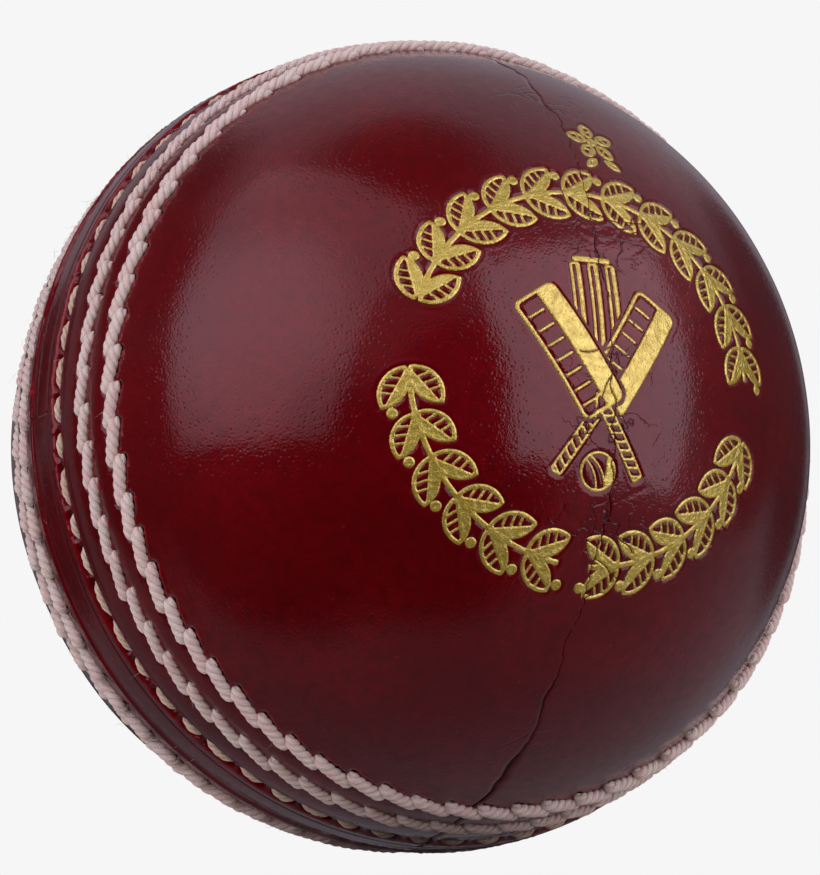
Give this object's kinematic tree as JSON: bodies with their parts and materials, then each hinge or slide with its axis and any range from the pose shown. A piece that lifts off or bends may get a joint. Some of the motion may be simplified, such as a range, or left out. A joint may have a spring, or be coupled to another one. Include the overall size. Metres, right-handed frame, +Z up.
{
  "type": "cricket ball",
  "caption": "Hard red leather cricket ball of quartered construction, with an upright raised seam of stitched thread rows and a gilt stamp on one side.",
  "frame": {"origin": "the ball's centre", "axes": "+Y along the polar axis, away from the stamped face; +Z up; the closing seam stands upright in the XZ plane"},
  "size_m": [0.073, 0.072, 0.073],
  "materials": {
    "leather": "polished lacquered deep red leather",
    "seam_thread": "matt twisted linen thread",
    "joint_thread": "matt waxed linen thread",
    "gilt_foil": "stamped gilt foil",
    "wool_yarn": "wound worsted yarn",
    "cork": "matt sheet cork",
    "cork_rubber": "moulded cork and rubber"
  },
  "bodies": {
    "root": {"cork_rubber_nucleus": "cork_rubber", "cork_slip_inner_1": "cork", "cork_slip_inner_2": "cork", "cork_slip_inner_3": "cork", "cork_slip_inner_4": "cork", "cork_slip_outer_1": "cork", "cork_slip_outer_2": "cork", "cork_slip_outer_3": "cork", "cork_slip_outer_4": "cork", "foil_emblem": "gilt_foil", "foil_mark": "gilt_foil", "foil_wreath": "gilt_foil", "leather_quarter_back_lower": "leather", "leather_quarter_back_upper": "leather", "leather_quarter_front_left": "leather", "leather_quarter_front_right": "leather", "quarter_joint_thread_back": "joint_thread", "quarter_joint_thread_front": "joint_thread", "seam_thread_back_inner": "seam_thread", "seam_thread_back_middle": "seam_thread", "seam_thread_back_outer": "seam_thread", "seam_thread_front_inner": "seam_thread", "seam_thread_front_middle": "seam_thread", "seam_thread_front_outer": "seam_thread", "wool_winding_first": "wool_yarn", "wool_winding_second": "wool_yarn", "wool_winding_third": "wool_yarn"}
  },
  "joints": []
}
